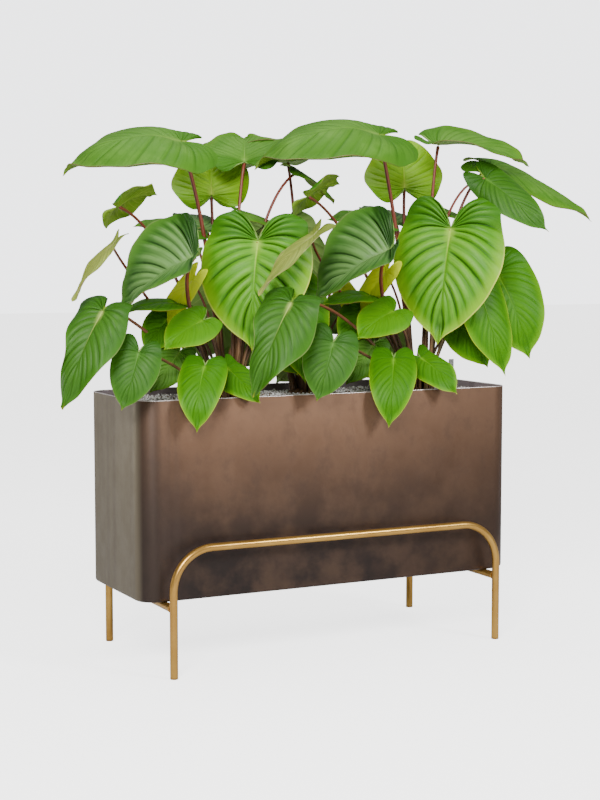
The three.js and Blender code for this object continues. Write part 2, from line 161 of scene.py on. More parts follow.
# Veins of a blade. Its map holds the share of the way from midrib to margin, left of the midrib
# below zero, and the number of the rib along the outline, from 0 at the notch to 1 at the tip.
# Along is the place on the midrib, from 0 at the joint to 1 at the tip, and lobes are below 0.
def makeVeinGroup():
    kinds = {"Map": "Vector", "Along": "Float", "Count": "Float"}
    names = ("Vein", "Crease", "Crest", "Midrib", "Margin", "Out", "Rib", "Along", "Streak")
    group, given, results = startGroup("veins", kinds, names)
    side, rib = axis(given["Map"], "X"), axis(given["Map"], "Y")
    out = calc("ABSOLUTE", side)
    phase = times(rib, given["Count"])
    crest = times(calc("PINGPONG", phase, 0.5), 2.0)
    reach = times(ramp(out, 0.0, 0.1), ramp(out, 1.0, 0.62))
    # some veins are deep and some only just show
    turn = plus(times(calc("SIGN", side), 1.5), calc("ROUND", phase), 2.4)
    depth = times(plus(0.6, calc("SINE", turn), 0.4), reach)
    values = (
        times(ramp(crest, 0.15, 0.02), reach),
        times(ramp(crest, 0.34, 0.0), depth),
        times(ramp(crest, 0.15, 1.0), reach),
        times(ramp(out, 0.022, 0.004), ramp(rib, 1.0, 0.5)),
        ramp(out, 0.965, 0.992),
        out,
        rib,
        given["Along"],
        noise(given["Map"], (1.6, 95, 1), 2.0),
    )
    for name, socket in zip(names, values):
        feed(results[name], socket)
    return group


veinCount = 19  # veins on each side of a blade
veinGroup = makeVeinGroup()


def veinsOf(tree):
    along = axis(mapPlace(tree, "flat"), "X")
    return useGroup(tree, veinGroup, Map=mapPlace(tree, "veins"), Along=along, Count=veinCount)


# Soft clouds and a fine grain, from the object's own coordinates
def makeCloudGroup():
    kinds = {"Cloud Scale": "Float", "Grain Scale": "Float"}
    group, given, results = startGroup("clouds", kinds, ("Cloud", "Grain"))
    place = objectPlace(group)
    feed(results["Cloud"], noise(place, given["Cloud Scale"], 4.0, 0.55))
    feed(results["Grain"], noise(place, given["Grain Scale"], 2.0, 0.6))
    return group


cloudGroup = makeCloudGroup()


# Two sockets: the clouds and the grain
def cloudsOf(tree, cloudScale, grainScale):
    return useGroup(tree, cloudGroup, Cloud_Scale=cloudScale, Grain_Scale=grainScale)


# Leaf tones. face is the upper side, sheen a painted sheen on its middle and on the pillows
# between the veins, deep the darker green of the fine streaks and the painted shade in the creases,
# on the lobes and in the hollow over the tip, vein the midrib and veins, blush the lower part near
# its margin and edge the rim. Then in shares: how light the veins are, how much painted shade
# darkens the creases and the lobes, how rough the face is, how much painted sheen lies on the
# middle, how much light the face throws back, how much painted shade darkens the hollow over the
# tip and how closely the painted sheen follows the pillows.
toneColumns = ("face", "sheen", "deep", "vein", "blush", "edge", "line", "crease", "lobe",
               "rough", "haze", "shine", "hollow", "stripes")
toneRows = {
    "canopy": ((0.04, 0.145, 0.005), (0.13, 0.28, 0.04), (0.025, 0.1, 0.003), (0.16, 0.3, 0.04),
        (0.08, 0.21, 0.006), (0.12, 0.08, 0.025), 0.0, 0.65, 0.1, 0.5, 0.25, 0.12, 0.0, 0.1),
    "heart": ((0.06, 0.24, 0.001), (0.15, 0.37, 0.024), (0.006, 0.05, 0.0003), (0.36, 0.56, 0.05),
        (0.26, 0.5, 0.005), (0.5, 0.55, 0.08), 0.0, 0.9, 0.5, 0.42, 0.3, 0.22, 0.6, 1.0),
    "deep": ((0.03, 0.12, 0.009), (0.17, 0.33, 0.095), (0.003, 0.025, 0.002), (0.17, 0.32, 0.07),
        (0.1, 0.25, 0.03), (0.16, 0.22, 0.07), 0.0, 0.9, 0.6, 0.42, 0.7, 0.25, 0.0, 1.0),
    "dusk": ((0.026, 0.105, 0.004), (0.056, 0.165, 0.014), (0.008, 0.05, 0.001), (0.085, 0.22, 0.025),
        (0.05, 0.17, 0.008), (0.14, 0.2, 0.05), 0.2, 0.6, 0.3, 0.45, 0.3, 0.18, 0.2, 0.8),
    "fresh": ((0.036, 0.16, 0.0006), (0.065, 0.215, 0.002), (0.01, 0.075, 0.0003), (0.16, 0.36, 0.015),
        (0.13, 0.34, 0.002), (0.36, 0.46, 0.02), 0.12, 0.55, 0.2, 0.42, 0.3, 0.12, 0.3, 0.8),
    "bright": ((0.055, 0.205, 0.0004), (0.09, 0.26, 0.001), (0.022, 0.12, 0.0003), (0.16, 0.36, 0.008),
        (0.12, 0.32, 0.001), (0.3, 0.4, 0.02), 0.2, 0.35, 0.1, 0.45, 0.3, 0.12, 0.2, 0.5),
    "young": ((0.17, 0.4, 0.002), (0.3, 0.54, 0.02), (0.07, 0.24, 0.001), (0.5, 0.64, 0.08),
        (0.27, 0.5, 0.006), (0.4, 0.5, 0.08), 0.35, 0.6, 0.1, 0.45, 0.3, 0.2, 0.2, 0.9),
    "yellow": ((0.72, 0.86, 0.004), (0.8, 0.9, 0.03), (0.5, 0.7, 0.002), (0.7, 0.75, 0.1),
        (0.6, 0.7, 0.01), (0.6, 0.6, 0.1), 0.3, 0.4, 0.0, 0.5, 0.3, 0.2, 0.0, 0.5),
    "pale": ((0.17, 0.23, 0.03), (0.33, 0.37, 0.07), (0.06, 0.11, 0.006), (0.36, 0.38, 0.13),
        (0.25, 0.27, 0.06), (0.3, 0.25, 0.1), 0.3, 0.6, 0.0, 0.5, 0.35, 0.2, 0.0, 0.8),
}
leafTones = {name: dict(zip(toneColumns, row)) for name, row in toneRows.items()}
leafTones["twist"] = {**leafTones["dusk"], "vein": (0.42, 0.52, 0.12), "line": 0.04, "lobe": 0.15}
underTones = {
    "sage": {"face": (0.14, 0.27, 0.045), "vein": (0.3, 0.38, 0.12)},
    "olive": {"face": (0.11, 0.22, 0.006), "vein": (0.3, 0.38, 0.06)},
    "lime": {"face": (0.68, 0.84, 0.008), "vein": (0.8, 0.88, 0.08)},
    "cream": {"face": (0.33, 0.37, 0.12), "vein": (0.42, 0.4, 0.16)},
}


def leafTop(name, tone):
    made, tree = startMaterial("leaf_" + name, Specular_IOR_Level=tone["shine"])
    veins = veinsOf(tree)
    cloud, grain = cloudsOf(tree, 16.0, 420.0)
    along, out, rib, crest = (veins[part] for part in ("Along", "Out", "Rib", "Crest"))
    patch, body = ramp(cloud, 0.36, 0.66), ramp(along, -0.04, 0.04)
    trough, top = 0.6 - 0.6 * tone["stripes"], 0.6 + 0.4 * tone["stripes"]
    colour = layered(
        tone["face"],
        # a painted sheen lies on the middle of the body and on the pillows between the veins
        (tone["sheen"], ramp(out, 0.95, 0.1), body, tone["haze"]),
        (tone["sheen"], ramp(crest, 0.0, 1.0, trough, top), ramp(patch, 0.0, 1.0, 0.25, 0.9),
         ramp(body, 0.0, 1.0, 0.35, 0.8)),
        (tone["deep"], ramp(veins["Streak"], 0.48, 0.72), 0.3),
        # painted shade darkens the lobes, less on the pillows
        (tone["deep"], ramp(body, 1.0, 0.0, 0.0, tone["lobe"]), ramp(crest, 1.0, 0.0, 0.6, 1.0)),
        (tone["blush"], ramp(out, 0.7, 1.0), ramp(rib, 0.34, 0.62), 0.7),
        # painted shade darkens the creases along the veins
        (tone["deep"], veins["Crease"], tone["crease"]),
        (tone["vein"], veins["Vein"], tone["line"]),
        # painted shade darkens the hollow over the tip
        (tone["deep"], ramp(along, 0.76, 0.85), ramp(along, 0.94, 0.85),
         ramp(out, 0.95, 0.25, 0.0, tone["hollow"])),
        # the midrib is pale beside the joint and fades half way to the tip
        (tone["vein"], veins["Midrib"], ramp(along, 0.62, 0.1, 0.12, 0.85)),
        (tone["vein"], ramp(along, 0.2, 0.0), ramp(out, 0.12, 0.0), body, 0.75),
        (tone["edge"], veins["Margin"], ramp(rib, 0.35, 0.6, 0.0, 0.8)),
        ((0.42, 0.4, 0.012), ramp(rib, 0.975, 1.0), 0.8))
    fine = plus(times(veins["Streak"], 0.35), grain, 0.25)
    height = calc("SUBTRACT", fine, times(veins["Crease"], tone["crease"]))
    return paint(made, colour, plus(tone["rough"] - 0.06, grain, 0.14), height, 0.55, 0.0016)


def leafUnder(name, tone):
    made, tree = startMaterial("underside_" + name, Specular_IOR_Level=0.3)
    veins = veinsOf(tree)
    cloud, grain = cloudsOf(tree, 18.0, 500.0)
    colour = layered(
        tone["face"], (tone["vein"], calc("MAXIMUM", veins["Vein"], veins["Midrib"]), 0.7),
        (tone["vein"], ramp(cloud, 0.35, 0.7), 0.3))
    height = plus(grain, veins["Streak"], 0.7)
    return paint(made, colour, plus(0.5, grain, 0.15), height, 0.4, 0.0006)


def leafEdge(name, tone):
    made, tree = startMaterial("edge_" + name)
    cloud, grain = cloudsOf(tree, 30.0, 500.0)
    rim = layered(tone["edge"], ((0.2, 0.1, 0.03), ramp(cloud, 0.42, 0.68)))
    colour = layered(tone["face"], (rim, ramp(veinsOf(tree)["Rib"], 0.3, 0.55)))
    return paint(made, colour, plus(0.4, grain, 0.2))


def stalkMaterial():
    made, tree = startMaterial("stalk", Specular_IOR_Level=0.5)
    cloud = cloudsOf(tree, 22.0, 600.0)[0]
    fibres = noise(mapPlace(tree, "UVMap"), (18, 3, 1))
    thread = ramp(fibres, 0.35, 0.7)
    red = layered((0.13, 0.022, 0.012), ((0.27, 0.06, 0.03), thread))
    brown = layered((0.05, 0.02, 0.006), ((0.22, 0.115, 0.045), thread),
                    ((0.13, 0.16, 0.02), ramp(cloud, 0.5, 0.72), 0.4))
    colour = layered(brown, (red, ramp(axis(objectPlace(tree), "Z"), 0.6, 0.8)))
    return paint(made, colour, plus(0.3, fibres, 0.25), fibres, 0.4, 0.0008)


# A finish of two close colours in soft clouds, with a fine grain
def cloudedMaterial(name, colour, other, rough, metallic, cloudScale, grainScale, depth):
    made, tree = startMaterial(name, Metallic=metallic)
    cloud, grain = cloudsOf(tree, cloudScale, grainScale)
    mixed = layered(colour, (other, ramp(cloud, 0.38, 0.66)))
    return paint(made, mixed, plus(rough, grain, 0.12), grain, 0.3, depth)


# The leaves of one plant, measured from the middle of its clump at the top of the granules.
# joint: where the stalk meets the blade, tip: the blade's point, via: where a stalk passes that
# doesn't go the usual way, width: across both halves. In degrees: roll raises the left half, fold
# is the slope of both halves beside the midrib, curl is their slope at the margin, bend curves
# the midrib down and lobes drops the lobes.
# look: tones of the face and the underside, and in shares of the width how deep the quilting is,
# how far the margins wave, how far the body swells beside the joint, how high the lobes rise, how
# far the near margin is turned up like a lip and how far the outline goes in and out. bulges lists
# half, place from notch to tip, reach and size where the outline bulges or dents.
usualLook = {"top": "fresh", "under": "sage", "quilt": 0.008, "wave": 0.022, "swell": 0.03,
             "lobeRise": 0.03, "lip": 0, "ruffle": 0.02, "bulges": ()}
leafColumns = ("joint", "tip", "via", "width", "roll", "fold", "curl", "bend", "lobes", "look")
leaves = {
    "canopy_left": ((-0.122, -0.034, 0.554), (-0.39, 0.015, 0.475), (0.005, 0.105, 0.39), 0.23, -28, 0,
        -25, 50, 20, {"top": "canopy", "under": "olive", "quilt": 0.009, "lip": 0.09, "swell": 0.06,
        "ruffle": 0.035}),
    "canopy_right": ((0.045, 0, 0.54), (0.205, -0.115, 0.49), None, 0.168, 15, 18, 10, 30, -15,
        {"top": "canopy", "quilt": 0.009, "wave": 0.035, "ruffle": 0.05}),
    "drooping_upper": ((0.17, -0.02, 0.497), (0.368, -0.12, 0.374), (0.03, -0.02, 0.43), 0.14, 20, 10, -20,
        22, 40, {"top": "canopy", "under": "olive", "wave": 0.04, "ruffle": 0.04}),
    "drooping_lower": ((0.117, -0.079, 0.464), (0.209, -0.183, 0.35), (0.015, 0.01, 0.47), 0.084, 55, 10,
        -30, 20, 0, {"top": "dusk", "under": "olive", "quilt": 0.014, "wave": 0.06,
        "bulges": ((1, 0.6, 0.2, 0.15), (-1, 0.6, 0.2, 0.1))}),
    "upright_back": ((0.002, 0.07, 0.447), (0.032, 0.14, 0.562), (0, 0.08, 0.33), 0.17, 0, 14, -10, 15, 10,
        {"top": "young", "quilt": 0.014, "wave": 0.055, "ruffle": 0.05}),
    "large_heart": ((0.041, -0.059, 0.358), (-0.006, -0.085, 0.11), None, 0.242, -16, 14, -22, 25, 10,
        {"top": "heart", "quilt": 0.026, "wave": 0.014, "swell": 0.05, "lobeRise": 0.05,
        "bulges": ((1, 0.32, 0.035, 0.08), (-1, 0.4, 0.05, -0.05), (1, 0.42, 0.05, -0.03))}),
    "large_left": ((-0.146, -0.121, 0.312), (-0.256, -0.008, 0.204), (-0.11, 0.07, 0.24), 0.232, -45, 35,
        20, 20, -20, {"top": "deep", "quilt": 0.028, "wave": 0.02, "bulges": ((1, 0.42, 0.12, 0.06),)}),
    "right_outer": ((0.178, -0.034, 0.262), (0.232, -0.086, 0.073), None, 0.165, 60, 10, -20, 30, 10),
    "right_inner": ((0.1, -0.075, 0.235), (0.145, -0.12, 0.04), None, 0.12, 45, 10, -20, 18, 10),
    "small_bright": ((-0.101, -0.062, 0.183), (-0.193, -0.069, 0.127), None, 0.1, -40, 8, -15, 15, 10,
        {"top": "bright", "quilt": 0.006}),
    "over_rim": ((-0.12, -0.095, 0.085), (-0.16, -0.145, -0.055), (-0.06, -0.05, 0.05), 0.1, -10, 10, -20,
        60, 20),
    "small_right": ((-0.034, -0.062, 0.082), (0, -0.155, 0.01), None, 0.085, 40, 8, -20, 25, 10,
        {"wave": 0.05, "bulges": ((1, 0.45, 0.2, -0.34),)}),
    "rim_left": ((-0.29, -0.145, 0.125), (-0.328, -0.146, 0.007), (-0.15, 0, 0.11), 0.11, -60, 14, -12, 15,
        30, {"top": "dusk"}),
    "twisted": ((-0.393, -0.161, 0.207), (-0.482, -0.171, 0.022), (-0.17, 0.06, 0.23), 0.126, -40, 20, -30,
        30, 100, {"top": "twist", "under": "olive", "quilt": 0.022, "wave": 0.1, "swell": 0.05,
        "ruffle": 0.04, "bulges": ((-1, 0.36, 0.07, 0.24), (-1, 0.66, 0.09, -0.42), (1, 0.6, 0.12, 0.1))}),
    "pale_drooping": ((-0.33, -0.135, 0.34), (-0.455, -0.14, 0.22), (-0.21, 0.175, 0.33), 0.088, -5, 10,
        -20, 20, 0, {"top": "pale", "under": "cream", "wave": 0.07, "ruffle": 0.05,
        "bulges": ((1, 0.6, 0.2, -0.44), (-1, 0.62, 0.2, -0.38), (-1, 0.34, 0.05, 0.1))}),
    "behind_right": ((0.08, -0.02, 0.155), (0.14, -0.06, 0.055), None, 0.11, 50, 8, -15, 20, 10),
    "behind_left": ((-0.06, 0.062, 0.372), (-0.19, 0.072, 0.377), None, 0.1, -25, 10, -15, 20, 10,
        {"top": "canopy", "under": "cream"}),
    "back_dark": ((-0.015, 0.075, 0.37), (-0.035, 0.195, 0.41), None, 0.12, 0, 10, -15, 30, 10,
        {"top": "deep"}),
    "back_right": ((0.05, 0.022, 0.405), (0.155, -0.008, 0.35), None, 0.09, 15, 10, -15, 20, 10,
        {"top": "canopy"}),
    "low_left": ((-0.115, 0.02, 0.215), (-0.24, 0, 0.195), None, 0.085, -15, 10, -15, 20, 10),
    "low_behind": ((-0.13, 0.03, 0.18), (-0.19, 0.01, 0.11), None, 0.08, -50, 10, -15, 20, 10),
    "low_pale": ((-0.115, 0, 0.11), (-0.185, -0.005, 0.025), None, 0.08, -60, 10, -15, 20, 10,
        {"top": "canopy", "quilt": 0.024}),
    "young_upright": ((-0.08, 0.01, 0.262), (-0.152, 0.05, 0.13), None, 0.072, -45, 12, -10, 12, 10,
        {"top": "yellow", "under": "lime"}),
    "underside_left": ((-0.31, -0.071, 0.42), (-0.214, -0.03, 0.448), (-0.062, 0.169, 0.38), 0.12, -38, 10,
        -20, 20, 0, {"under": "olive", "wave": 0.05, "ruffle": 0.05, "bulges": ((1, 0.42, 0.08, 0.15),)}),
}
fusedLeaves = ("behind_right", "behind_left", "back_dark", "back_right", "low_left", "low_behind",
               "low_pale", "young_upright")

# The leaves of the left plant that stand otherwise, in the same columns up to the last change
leftLeaves = {
    "canopy_left": (None, (-0.365, 0.015, 0.478)),
    "canopy_right": ((0.066, 0.055, 0.521), (0.121, 0.162, 0.584), None, 0.18, 0, None, None, 20, 30),
    "upright_back": ((0.01, 0.108, 0.448), (0.035, 0.182, 0.562)),
    "large_heart": ((0.047, -0.053, 0.347), (0.021, -0.076, 0.113)),
    "large_left": ((-0.135, -0.128, 0.312), (-0.253, -0.013, 0.2)),
    "small_bright": ((-0.089, -0.068, 0.18), (-0.18, -0.074, 0.121)),
    "drooping_upper": ((0.179, 0.02, 0.5), (0.275, 0.03, 0.43), None, 0.125),
    "right_inner": ((0.1, -0.045, 0.235), (0.145, -0.085, 0.04)),
    "right_outer": ((0.15, 0.03, 0.255), (0.215, -0.01, 0.075), (0.04, 0.075, 0.18)),
    "over_rim": ((-0.105, -0.113, 0.087), (-0.145, -0.163, -0.046), (-0.095, -0.06, 0.06)),
    "small_right": ((-0.031, -0.06, 0.078), (0.003, -0.153, 0.008)),
    "rim_left": ((-0.264, -0.145, 0.121), (-0.302, -0.146, 0.005), None, 0.1),
    "twisted": ((-0.338, -0.141, 0.205), (-0.428, -0.153, 0.012), (-0.23, 0.13, 0.24), 0.116),
    "pale_drooping": ((-0.316, -0.142, 0.337), (-0.4, -0.136, 0.224), None, 0.078),
    "underside_left": ((-0.276, -0.068, 0.415), (-0.174, -0.029, 0.442)),
}
plants = {
    "left": {"x": -0.192, "y": -0.038, "turn": 0, "size": 0.95, "without": ("drooping_lower",),
        "instead": leftLeaves},
    "middle": {"x": 0.041, "y": 0.07, "turn": 180, "size": 0.93, "without": ("canopy_left", "large_left",
        "behind_left", "back_dark", "upright_back", "drooping_upper", "drooping_lower", "twisted",
        "pale_drooping", "underside_left"), "instead": {"canopy_right": (None, (0.205, -0.11, 0.494))}},
    "right": {"x": 0.262, "y": -0.045, "turn": 0, "size": 1, "without": (), "instead": {}},
}

# Half of a blade's outline from the notch to the tip, in shares of the length and the half width
halfOutline = np.array([
    (-0.03, 0.04), (-0.16, 0.19), (-0.25, 0.45), (-0.2, 0.76), (-0.05, 0.94), (0.16, 1),
    (0.39, 0.95), (0.61, 0.77), (0.79, 0.47), (0.91, 0.16), (1, 0)])
blade = {
    "thickness": 0.0009, "midrib": 0.0026, "fanEnd": 0.1, "lastVein": 0.64, "veinDelay": 1.75,
    "ribBow": 0.16, "lobeReach": 0.24, "waves": 2.6, "ripple": 0.006, "ripples": 7, "groove": 0.008,
    "grooveReach": 0.012, "swellReach": 0.17, "sway": 0.025, "hollow": 0.05, "hollowAt": 0.84,
    "hollowReach": 0.07, "tipNarrow": 0.3,
    "grids": {"large": (14, 156), "medium": (11, 118), "small": (9, 80)},
}
stalk = {
    "thinnest": 0.0019, "perWidth": 0.0078, "taper": 1.45, "sink": 0.016, "spread": (0.01, 0.027),
    "rise": 0.03, "sides": 12, "rows": 34, "sheath": 0.55, "flare": 0.3, "channel": 0.16,
}
soilTop = 0.529
up = Vector((0, 0, 1))
askew = np.array((0.31, 0.95, 0.05))  # a direction that no stalk takes
fullTurn = 2 * math.pi


def smooth(low, high, value):
    share = np.clip((value - low) / (high - low), 0, 1)
    return share * share * (3 - 2 * share)


def clearSelection():
    bpy.ops.object.select_all(action="DESELECT")


def pick(piece):
    clearSelection()
    bpy.context.view_layer.objects.active = piece
    piece.select_set(True)


def inEditMode(piece, work):
    pick(piece)
    bpy.ops.object.mode_set(mode="EDIT")
    work()
    bpy.ops.object.mode_set(mode="OBJECT")


# Runs one mesh operator on all of a piece
def onWhole(piece, operator, **values):
    def work():
        bpy.ops.mesh.select_all(action="SELECT")
        operator(**values)
    inEditMode(piece, work)


def mergeDoubles(piece):
    onWhole(piece, bpy.ops.mesh.remove_doubles, threshold=1e-6)


# Gives a sheet its thickness at once
def thicken(piece, **settings):
    solid = piece.modifiers.new("thickness", "SOLIDIFY")
    for name, value in settings.items():
        setattr(solid, name, value)
    pick(piece)
    bpy.ops.object.modifier_apply(modifier=solid.name)


def smoothShade(piece, degrees):
    pick(piece)
    bpy.ops.object.shade_smooth_by_angle(angle=math.radians(degrees))


def joinAll(pieces, name, degrees=None):
    clearSelection()
    for piece in pieces:
        piece.select_set(True)
    bpy.context.view_layer.objects.active = pieces[0]
    bpy.ops.object.join()
    joined = bpy.context.object
    joined.name = joined.data.name = name
    if degrees:
        smoothShade(joined, degrees)
    return joined


def settle(piece, materials, slot, *nodes):
    for material in materials:
        piece.data.materials.append(material)
    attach(piece, "root")
    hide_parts(*nodes)


def startPrimitive(name, add, **values):
    add(**values)
    piece = bpy.context.object
    piece.name = piece.data.name = name
    bpy.ops.object.transform_apply(location=True, rotation=True, scale=True)
    return piece


# What a mesh holds under one name, with a row for each item
def allValues(items, name, width, kind=float):
    found = np.empty(len(items) * width, dtype=kind)
    items.foreach_get(name, found)
    return found.reshape(-1, width)


# A flat grid whose points are put in place by shape(x, y): x runs from -1 to 1, y from 0 to 1.
def shapedGrid(name, columns, rows, shape):
    piece = startPrimitive(name, bpy.ops.mesh.primitive_grid_add, x_subdivisions=columns,
                           y_subdivisions=rows, size=2)
    flat = allValues(piece.data.vertices, "co", 3)
    piece.data.vertices.foreach_set("co", shape(flat[:, 0], (flat[:, 1] + 1) / 2).ravel())
    piece.data.update()
    return piece


def outlineAt(s):
    last = len(halfOutline) - 1
    place = s * last
    start = np.clip(np.floor(place).astype(int), 0, last)
    share = (place - start)[:, None]
    before, first, second, after = (halfOutline[np.clip(start + step, 0, last)] for step in (-1, 0, 1, 2))
    slopeIn, slopeOut = (second - before) / 2, (after - first) / 2
    cubic = 2 * first - 2 * second + slopeIn + slopeOut
    square = -3 * first + 3 * second - 2 * slopeIn - slopeOut
    return (cubic * share ** 3 + square * share ** 2 + slopeIn * share + first).T


def bladeFrame(leaf):
    joint, tip = Vector(leaf["joint"]), Vector(leaf["tip"])
    chord = tip - joint
    half = math.radians(leaf["bend"]) / 2
    forward = chord.normalized()
    level = (up - forward * up.dot(forward)).normalized()
    left = level.cross(forward)
    roll = math.radians(leaf["roll"])
    return {
        "joint": joint,
        "half": half,
        "length": chord.length * half / math.sin(half),
        "forward": forward,
        "side": left * math.cos(roll) + level * math.sin(roll),
        "normal": level * math.cos(roll) - left * math.sin(roll),
    }


# From the flat blade to its bent and folded place. lift is measured off the blade.
def bentBlade(leaf, shape, u, v, lift):
    half, length = shape["half"], shape["length"]
    slope = math.radians(leaf["fold"])
    sideTurn = (math.radians(leaf["curl"]) - slope) / (leaf["width"] / 2)
    lobeTurn = math.radians(leaf["lobes"]) / (blade["lobeReach"] * length) or 1e-3
    turn = np.where(u < 0, lobeTurn, 2 * half / length)
    angle = half - turn * u
    out = slope + sideTurn * np.abs(v)
    across = np.sign(v) * (np.sin(out) - math.sin(slope)) / sideTurn
    high = (math.cos(slope) - np.cos(out)) / sideTurn + lift
    along = (math.sin(half) - np.sin(angle)) / turn - high * np.sin(angle)
    rise = (np.cos(angle) - math.cos(half)) / turn + high * np.cos(angle)
    parts = ((along, shape["forward"]), (rise, shape["normal"]), (across, shape["side"]))
    return np.array(shape["joint"]) + sum(np.outer(share, np.array(axis)) for share, axis in parts)


# Where rib s and the share x of the way to the margin lie on the flat blade
def flatBlade(leaf, shape, x, s):
    away, sign = np.abs(x), np.sign(x)
    marginU, marginV = outlineAt(s)
    level = np.clip((marginU - blade["fanEnd"]) / (1 - blade["fanEnd"]), 0, 1) * (s > 0.25)
    root = blade["lastVein"] * level ** blade["veinDelay"] + (1 - blade["lastVein"]) * smooth(0.92, 1, s)
    du = (marginU - root) * shape["length"]
    dv = marginV * leaf["width"] / 2
    bow = 2 * blade["ribBow"] * away * (1 - away)
    u = root * shape["length"] + du * away - dv * bow
    return u, sign * np.maximum(dv * away + du * bow, 0)


def inPlant(plant, points):
    turn = math.radians(plant["turn"])
    x, y, z = points.T
    return np.stack([
        middleX + plant["x"] + x * math.cos(turn) - y * math.sin(turn),
        middleY + plant["y"] + x * math.sin(turn) + y * math.cos(turn),
        soilTop + z,
    ], axis=1)


# The blade's grid is finer towards the midrib
def spread(x):
    return np.sign(x) * np.abs(x) ** 1.5


def makeBlade(name, plant, leaf, seed, grid):
    shape = bladeFrame(leaf)
    look = leaf["look"]
    chance = random.Random(seed)
    shift, other = chance.uniform(0, 6.28), chance.uniform(0, 6.28)
    sway = chance.uniform(-1, 1) * blade["sway"] * shape["length"]
    flat = {}

    def place(x, s):
        x = -spread(x)
        away = np.abs(x)
        u, v = flatBlade(leaf, shape, x, s)
        along = u / shape["length"]
        closing = 1 - smooth(0.94, 1, s)
        number = np.floor(veinCount * s + 0.5)
        depth = 0.6 + 0.4 * np.sin(2.4 * number + 1.5 * np.sign(x))
        beside = np.abs(veinCount * s - number) * 2
        crest = 0.4 * (1 - np.exp(-(beside / 0.3) ** 2)) + 0.6 * np.sin(math.pi / 2 * beside)
        reach = smooth(0, 0.2, away) * (1 - 0.9 * smooth(0.62, 1, away))
        pillow = look["quilt"] * (crest - 1) * reach * depth
        phase = fullTurn * blade["waves"] * s + np.where(x > 0, shift, other)
        wave = look["wave"] * away ** 2.5 * np.sin(phase) * smooth(0, 0.15, s)
        ripple = blade["ripple"] * away ** 5 * np.sin(fullTurn * blade["ripples"] * s + shift + x)
        offRib = v / (blade["grooveReach"] * leaf["width"])
        channel = -blade["groove"] * np.exp(-offRib ** 2) * smooth(0.02, 0.1, along)
        fromJoint = np.hypot(along, v / shape["length"])
        swell = look["swell"] * (1 - np.exp(-(fromJoint / blade["swellReach"]) ** 2)) * (1 - away ** 2)
        lobe = look["lobeRise"] * smooth(0.02, 0.2, -along)
        tipward = (along - blade["hollowAt"]) / blade["hollowReach"]
        hollow = -blade["hollow"] * np.exp(-tipward ** 2) * (1 - away ** 2)
        lip = look["lip"] * smooth(0.84, 1, x) * smooth(0.42, 0.6, s) * (1 - smooth(0.88, 0.97, s))
        lift = leaf["width"] * (pillow + wave + ripple + channel + swell + lobe + hollow + lip) * closing
        flat["place"] = np.stack([along, v / shape["length"]], axis=1)
        # the outline goes in and out, and is narrow at its tip
        ruffle = look["ruffle"] * away ** 2 * np.sin(fullTurn * (2.2 * s + 0.1 * np.sign(x)))
        v = v * (1 - blade["tipNarrow"] * smooth(0.86, 0.97, s)) * (1 + ruffle)
        for half, middle, wide, amount in look["bulges"]:
            v = v * (1 + amount * away ** 2 * np.exp(-((s - middle) / wide) ** 2) * (np.sign(x) == half))
        v = v + sway * np.sin(math.pi * np.clip(along, 0, 1))
        return inPlant(plant, bentBlade(leaf, shape, u, v, lift))

    columns, rows = blade["grids"][grid]
    piece = shapedGrid(name, 2 * columns, rows, place)
    uv = piece.data.uv_layers[0]
    uv.name = "veins"
    ribs = allValues(uv.data, "uv", 2)
    ribs[:, 0] = -spread(2 * ribs[:, 0] - 1)
    uv.data.foreach_set("uv", ribs.ravel())
    corners = allValues(piece.data.loops, "vertex_index", 1, int)[:, 0]
    piece.data.uv_layers.new(name="flat").data.foreach_set("uv", flat["place"][corners].ravel())
    # the midrib stands out underneath, thick at the stalk and thin towards the tip
    thick = piece.vertex_groups.new(name="thick")
    columnsAcross = 2 * columns + 1
    thin = blade["thickness"] / blade["midrib"]
    for index in range(len(piece.data.vertices)):
        x = -spread(2 * (index % columnsAcross) / (columnsAcross - 1) - 1)
        s = (index // columnsAcross) / rows
        ridge = math.exp(-(abs(x) / 0.035) ** 2) * max(0.0, 1 - max(0.0, (s - 0.4) / 0.6) ** 0.8)
        thick.add([index], thin + (1 - thin) * ridge, "REPLACE")
    mergeDoubles(piece)
    for material in leafMaterials(look):
        piece.data.materials.append(material)
    thicken(piece, thickness=blade["midrib"], offset=-1, vertex_group="thick", thickness_vertex_group=0,
            material_offset=1, material_offset_rim=2)
    smoothShade(piece, 60)
    return piece


madeMaterials = {}


# Of the face, the underside and the rim
def leafMaterials(look):
    wanted = ((leafTop, leafTones, look["top"]), (leafUnder, underTones, look["under"]),
              (leafEdge, leafTones, look["top"]))
    for make, tones, tone in wanted:
        if (make, tone) not in madeMaterials:
            madeMaterials[make, tone] = make(tone, tones[tone])
    return [madeMaterials[make, tone] for make, tones, tone in wanted]


def asLeaf(row):
    return {key: value for key, value in zip(leafColumns, row) if value is not None}


def sizedLeaf(name, plant):
    leaf = {**asLeaf(leaves[name]), **asLeaf(plant["instead"].get(name, ()))}
    for key in ("joint", "tip", "via"):
        if key in leaf:
            leaf[key] = tuple(value * plant["size"] for value in leaf[key])
    look = {**usualLook, **leaf.get("look", {})}
    return {**leaf, "width": leaf["width"] * plant["size"], "look": look}


# A stalk rises out of the clump and arches over to the underside of its blade
def stalkCurve(leaf, order):
    shape = bladeFrame(leaf)
    joint = shape["joint"]
    low, high = stalk["spread"]
    rooted = (low + (high - low) * (order % 3) / 2) / math.hypot(joint.x, joint.y)
    root = Vector((joint.x * rooted, joint.y * rooted, -stalk["sink"]))
    via = Vector(leaf.get("via") or (joint.x * 0.3, joint.y * 0.3, joint.z * 0.7))
    facing = shape["normal"] * math.cos(shape["half"]) - shape["forward"] * math.sin(shape["half"])
    end = joint - facing * blade["thickness"] * 1.5
    return [np.array(point) for point in (root, root + up * stalk["rise"], via, end)]


